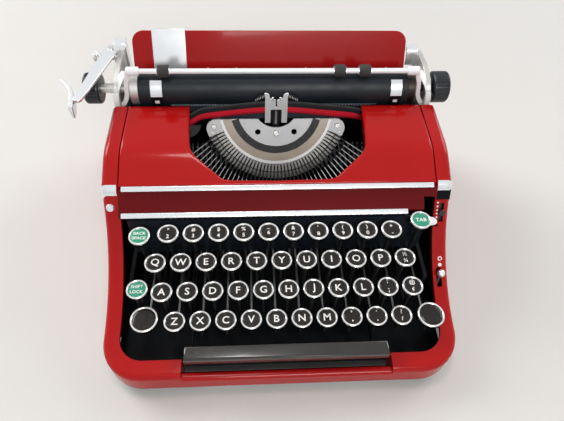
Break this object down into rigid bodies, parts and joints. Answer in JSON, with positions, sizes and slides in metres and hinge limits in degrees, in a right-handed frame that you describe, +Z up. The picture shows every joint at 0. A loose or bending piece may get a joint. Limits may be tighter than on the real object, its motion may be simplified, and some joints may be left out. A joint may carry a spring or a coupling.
{
  "type": "portable typewriter",
  "caption": "Portable manual typewriter with an enamelled shell, round-key keyboard, type-bar basket, ribbon spools under a lid, and a sliding carriage with platen and return lever.",
  "frame": {"origin": "on the table in the machine's mid-plane, 134 mm behind the front rail's face, between the four feet", "axes": "+X along the platen to the typist's right, +Y from the typist to the back, +Z up"},
  "size_m": [0.3288, 0.272, 0.1479],
  "materials": {
    "red_enamel": "gloss enamel",
    "black_enamel": "satin enamel",
    "bright_chrome": "polished",
    "satin_steel": "satin",
    "platen_rubber": "smooth",
    "foot_rubber": "matte",
    "ink_ribbon": "woven, inked",
    "black_bar": "gloss",
    "key_metal": "gloss black with bright rims"
  },
  "bodies": {
    "machine": {"chassis": "black_enamel", "body_shell": "red_enamel", "front_band": "red_enamel", "trim_strips": "bright_chrome", "front_apron": "black_enamel", "rubber_feet": "foot_rubber", "typebar_segment": "satin_steel", "typebars": "satin_steel", "carriage_rail": "satin_steel", "ribbon": "ink_ribbon"},
    "lid": {"ribbon_cover": "red_enamel"},
    "carriage": {"carriage_frame": "black_enamel", "carriage_ends": "bright_chrome", "paper_table": "red_enamel", "paper_fingers": "bright_chrome"},
    "platen": {"platen_roller": "platen_rubber", "platen_shaft": "satin_steel"},
    "bail": {"paper_bail": "bright_chrome", "bail_rollers": "platen_rubber"},
    "line_lever": {"return_lever": "bright_chrome"},
    "release": {"carriage_release": "bright_chrome"},
    "side_guide": {"paper_guide": "bright_chrome"},
    "left_spool": {"ribbon_spool_left": "black_enamel"},
    "right_spool": {"ribbon_spool_right": "black_enamel"},
    "vibrator": {"ribbon_vibrator": "bright_chrome"},
    "selector": {"colour_selector": "bright_chrome"},
    "touch": {"touch_lever": "bright_chrome"},
    "drum": {"mainspring_drum": "satin_steel"},
    "space": {"space_bar": "black_bar"},
    "shift": {"shift_keys": "key_metal"},
    "lock": {"shift_lock": "key_metal"},
    "backspace": {"backspace_key": "key_metal"},
    "tabulator": {"tab_key": "key_metal"},
    "figures": {"figure_keys": "key_metal"},
    "letter_q": {"key_q": "key_metal"},
    "letter_w": {"key_w": "key_metal"},
    "letter_e": {"key_e": "key_metal"},
    "letter_r": {"key_r": "key_metal"},
    "letter_t": {"key_t": "key_metal"},
    "letter_y": {"key_y": "key_metal"},
    "letter_u": {"key_u": "key_metal"},
    "letter_i": {"key_i": "key_metal"},
    "letter_o": {"key_o": "key_metal"},
    "letter_p": {"key_p": "key_metal"},
    "letter_a": {"key_a": "key_metal"},
    "letter_s": {"key_s": "key_metal"},
    "letter_d": {"key_d": "key_metal"},
    "letter_f": {"key_f": "key_metal"},
    "letter_g": {"key_g": "key_metal"},
    "letter_h": {"key_h": "key_metal"},
    "letter_j": {"key_j": "key_metal"},
    "letter_k": {"key_k": "key_metal"},
    "letter_l": {"key_l": "key_metal"},
    "letter_z": {"key_z": "key_metal"},
    "letter_x": {"key_x": "key_metal"},
    "letter_c": {"key_c": "key_metal"},
    "letter_v": {"key_v": "key_metal"},
    "letter_b": {"key_b": "key_metal"},
    "letter_n": {"key_n": "key_metal"},
    "letter_m": {"key_m": "key_metal"}
  },
  "joints": [
    {"name": "lid_lift", "type": "hinge", "parent": "machine", "child": "lid", "pos_m": [0, -0.0062, 0.0974], "axis": [1, 0, 0], "range_deg": [0, 60]},
    {"name": "carriage_slide", "type": "slide", "parent": "machine", "child": "carriage", "axis": [-1, 0, 0], "range_m": [-0.11, 0.11]},
    {"name": "platen_turn", "type": "hinge", "parent": "carriage", "child": "platen", "pos_m": [0, 0.087, 0.116], "axis": [1, 0, 0], "continuous": true},
    {"name": "bail_swing", "type": "hinge", "parent": "carriage", "child": "bail", "pos_m": [0, 0.0775, 0.104], "axis": [1, 0, 0], "range_deg": [0, 22]},
    {"name": "return_swing", "type": "hinge", "parent": "carriage", "child": "line_lever", "pos_m": [-0.1417, 0.119, 0.13], "axis": [0, 0, 1], "range_deg": [0, 25], "stiffness_Nm_per_rad": 0.3, "springref_deg": -5.73},
    {"name": "release_turn", "type": "hinge", "parent": "carriage", "child": "release", "pos_m": [0, 0.118, 0.104], "axis": [1, 0, 0], "range_deg": [0, 8], "stiffness_Nm_per_rad": 0.5, "springref_deg": -5.73},
    {"name": "guide_slide", "type": "slide", "parent": "carriage", "child": "side_guide", "axis": [1, 0, 0], "range_m": [-0.006, 0.12]},
    {"name": "left_spool_turn", "type": "hinge", "parent": "machine", "child": "left_spool", "pos_m": [-0.098, 0.04, 0.099], "axis": [0, 0, 1], "continuous": true},
    {"name": "right_spool_turn", "type": "hinge", "parent": "machine", "child": "right_spool", "pos_m": [0.098, 0.04, 0.099], "axis": [0, 0, 1], "continuous": true},
    {"name": "vibrator_lift", "type": "slide", "parent": "machine", "child": "vibrator", "axis": [0, 0, 1], "range_m": [0, 0.006]},
    {"name": "selector_turn", "type": "hinge", "parent": "machine", "child": "selector", "pos_m": [0.1299, -0.063, 0.025], "axis": [1, 0, 0], "range_deg": [-8, 8]},
    {"name": "mainspring_turn", "type": "hinge", "parent": "machine", "child": "drum", "pos_m": [-0.092, 0.118, 0.05], "axis": [0, 1, 0], "range_deg": [-330, 330]},
    {"name": "touch_slide", "type": "slide", "parent": "machine", "child": "touch", "axis": [0, 0.58, 0.8146], "range_m": [-0.004, 0.004]},
    {"name": "space_press", "type": "hinge", "parent": "machine", "child": "space", "pos_m": [0, 0.1, 0.03], "axis": [1, 0, 0], "range_deg": [0, 2], "stiffness_Nm_per_rad": 2, "springref_deg": -8.59},
    {"name": "shift_press", "type": "hinge", "parent": "machine", "child": "shift", "pos_m": [0, 0.1, 0.03], "axis": [1, 0, 0], "range_deg": [0, 2.8], "stiffness_Nm_per_rad": 2, "springref_deg": -8.59},
    {"name": "lock_press", "type": "hinge", "parent": "machine", "child": "lock", "pos_m": [0, 0.1, 0.03], "axis": [1, 0, 0], "range_deg": [0, 2], "stiffness_Nm_per_rad": 1, "springref_deg": -8.59},
    {"name": "backspace_press", "type": "hinge", "parent": "machine", "child": "backspace", "pos_m": [0, 0.1, 0.03], "axis": [1, 0, 0], "range_deg": [0, 3.5], "stiffness_Nm_per_rad": 1, "springref_deg": -8.59},
    {"name": "tab_press", "type": "hinge", "parent": "machine", "child": "tabulator", "pos_m": [0, 0.1, 0.03], "axis": [1, 0, 0], "range_deg": [0, 3.4], "stiffness_Nm_per_rad": 1, "springref_deg": -8.59},
    {"name": "figures_press", "type": "hinge", "parent": "machine", "child": "figures", "pos_m": [0, 0.1, 0.03], "axis": [1, 0, 0], "range_deg": [0, 3.1], "stiffness_Nm_per_rad": 12, "springref_deg": -8.59},
    {"name": "letter_q_press", "type": "hinge", "parent": "machine", "child": "letter_q", "pos_m": [0, 0.1, 0.03], "axis": [1, 0, 0], "range_deg": [0, 3.5], "stiffness_Nm_per_rad": 1, "springref_deg": -8.59},
    {"name": "letter_w_press", "type": "hinge", "parent": "machine", "child": "letter_w", "pos_m": [0, 0.1, 0.03], "axis": [1, 0, 0], "range_deg": [0, 3.5], "stiffness_Nm_per_rad": 1, "springref_deg": -8.59},
    {"name": "letter_e_press", "type": "hinge", "parent": "machine", "child": "letter_e", "pos_m": [0, 0.1, 0.03], "axis": [1, 0, 0], "range_deg": [0, 3.5], "stiffness_Nm_per_rad": 1, "springref_deg": -8.59},
    {"name": "letter_r_press", "type": "hinge", "parent": "machine", "child": "letter_r", "pos_m": [0, 0.1, 0.03], "axis": [1, 0, 0], "range_deg": [0, 3.5], "stiffness_Nm_per_rad": 1, "springref_deg": -8.59},
    {"name": "letter_t_press", "type": "hinge", "parent": "machine", "child": "letter_t", "pos_m": [0, 0.1, 0.03], "axis": [1, 0, 0], "range_deg": [0, 3.5], "stiffness_Nm_per_rad": 1, "springref_deg": -8.59},
    {"name": "letter_y_press", "type": "hinge", "parent": "machine", "child": "letter_y", "pos_m": [0, 0.1, 0.03], "axis": [1, 0, 0], "range_deg": [0, 3.5], "stiffness_Nm_per_rad": 1, "springref_deg": -8.59},
    {"name": "letter_u_press", "type": "hinge", "parent": "machine", "child": "letter_u", "pos_m": [0, 0.1, 0.03], "axis": [1, 0, 0], "range_deg": [0, 3.5], "stiffness_Nm_per_rad": 1, "springref_deg": -8.59},
    {"name": "letter_i_press", "type": "hinge", "parent": "machine", "child": "letter_i", "pos_m": [0, 0.1, 0.03], "axis": [1, 0, 0], "range_deg": [0, 3.5], "stiffness_Nm_per_rad": 1, "springref_deg": -8.59},
    {"name": "letter_o_press", "type": "hinge", "parent": "machine", "child": "letter_o", "pos_m": [0, 0.1, 0.03], "axis": [1, 0, 0], "range_deg": [0, 3.5], "stiffness_Nm_per_rad": 1, "springref_deg": -8.59},
    {"name": "letter_p_press", "type": "hinge", "parent": "machine", "child": "letter_p", "pos_m": [0, 0.1, 0.03], "axis": [1, 0, 0], "range_deg": [0, 3.5], "stiffness_Nm_per_rad": 1, "springref_deg": -8.59},
    {"name": "letter_a_press", "type": "hinge", "parent": "machine", "child": "letter_a", "pos_m": [0, 0.1, 0.03], "axis": [1, 0, 0], "range_deg": [0, 3.1], "stiffness_Nm_per_rad": 1, "springref_deg": -8.59},
    {"name": "letter_s_press", "type": "hinge", "parent": "machine", "child": "letter_s", "pos_m": [0, 0.1, 0.03], "axis": [1, 0, 0], "range_deg": [0, 3.1], "stiffness_Nm_per_rad": 1, "springref_deg": -8.59},
    {"name": "letter_d_press", "type": "hinge", "parent": "machine", "child": "letter_d", "pos_m": [0, 0.1, 0.03], "axis": [1, 0, 0], "range_deg": [0, 3.1], "stiffness_Nm_per_rad": 1, "springref_deg": -8.59},
    {"name": "letter_f_press", "type": "hinge", "parent": "machine", "child": "letter_f", "pos_m": [0, 0.1, 0.03], "axis": [1, 0, 0], "range_deg": [0, 3.1], "stiffness_Nm_per_rad": 1, "springref_deg": -8.59},
    {"name": "letter_g_press", "type": "hinge", "parent": "machine", "child": "letter_g", "pos_m": [0, 0.1, 0.03], "axis": [1, 0, 0], "range_deg": [0, 3.1], "stiffness_Nm_per_rad": 1, "springref_deg": -8.59},
    {"name": "letter_h_press", "type": "hinge", "parent": "machine", "child": "letter_h", "pos_m": [0, 0.1, 0.03], "axis": [1, 0, 0], "range_deg": [0, 3.1], "stiffness_Nm_per_rad": 1, "springref_deg": -8.59},
    {"name": "letter_j_press", "type": "hinge", "parent": "machine", "child": "letter_j", "pos_m": [0, 0.1, 0.03], "axis": [1, 0, 0], "range_deg": [0, 3.1], "stiffness_Nm_per_rad": 1, "springref_deg": -8.59},
    {"name": "letter_k_press", "type": "hinge", "parent": "machine", "child": "letter_k", "pos_m": [0, 0.1, 0.03], "axis": [1, 0, 0], "range_deg": [0, 3.1], "stiffness_Nm_per_rad": 1, "springref_deg": -8.59},
    {"name": "letter_l_press", "type": "hinge", "parent": "machine", "child": "letter_l", "pos_m": [0, 0.1, 0.03], "axis": [1, 0, 0], "range_deg": [0, 3.1], "stiffness_Nm_per_rad": 1, "springref_deg": -8.59},
    {"name": "letter_z_press", "type": "hinge", "parent": "machine", "child": "letter_z", "pos_m": [0, 0.1, 0.03], "axis": [1, 0, 0], "range_deg": [0, 2.8], "stiffness_Nm_per_rad": 1, "springref_deg": -8.59},
    {"name": "letter_x_press", "type": "hinge", "parent": "machine", "child": "letter_x", "pos_m": [0, 0.1, 0.03], "axis": [1, 0, 0], "range_deg": [0, 2.8], "stiffness_Nm_per_rad": 1, "springref_deg": -8.59},
    {"name": "letter_c_press", "type": "hinge", "parent": "machine", "child": "letter_c", "pos_m": [0, 0.1, 0.03], "axis": [1, 0, 0], "range_deg": [0, 2.8], "stiffness_Nm_per_rad": 1, "springref_deg": -8.59},
    {"name": "letter_v_press", "type": "hinge", "parent": "machine", "child": "letter_v", "pos_m": [0, 0.1, 0.03], "axis": [1, 0, 0], "range_deg": [0, 2.8], "stiffness_Nm_per_rad": 1, "springref_deg": -8.59},
    {"name": "letter_b_press", "type": "hinge", "parent": "machine", "child": "letter_b", "pos_m": [0, 0.1, 0.03], "axis": [1, 0, 0], "range_deg": [0, 2.8], "stiffness_Nm_per_rad": 1, "springref_deg": -8.59},
    {"name": "letter_n_press", "type": "hinge", "parent": "machine", "child": "letter_n", "pos_m": [0, 0.1, 0.03], "axis": [1, 0, 0], "range_deg": [0, 2.8], "stiffness_Nm_per_rad": 1, "springref_deg": -8.59},
    {"name": "letter_m_press", "type": "hinge", "parent": "machine", "child": "letter_m", "pos_m": [0, 0.1, 0.03], "axis": [1, 0, 0], "range_deg": [0, 2.8], "stiffness_Nm_per_rad": 1, "springref_deg": -8.59}
  ],
  "couplings": [
    {"joint": "right_spool_turn", "follows": "left_spool_turn", "ratio": 1},
    {"joint": "mainspring_turn", "follows": "carriage_slide", "rad_per_m": 50}
  ]
}
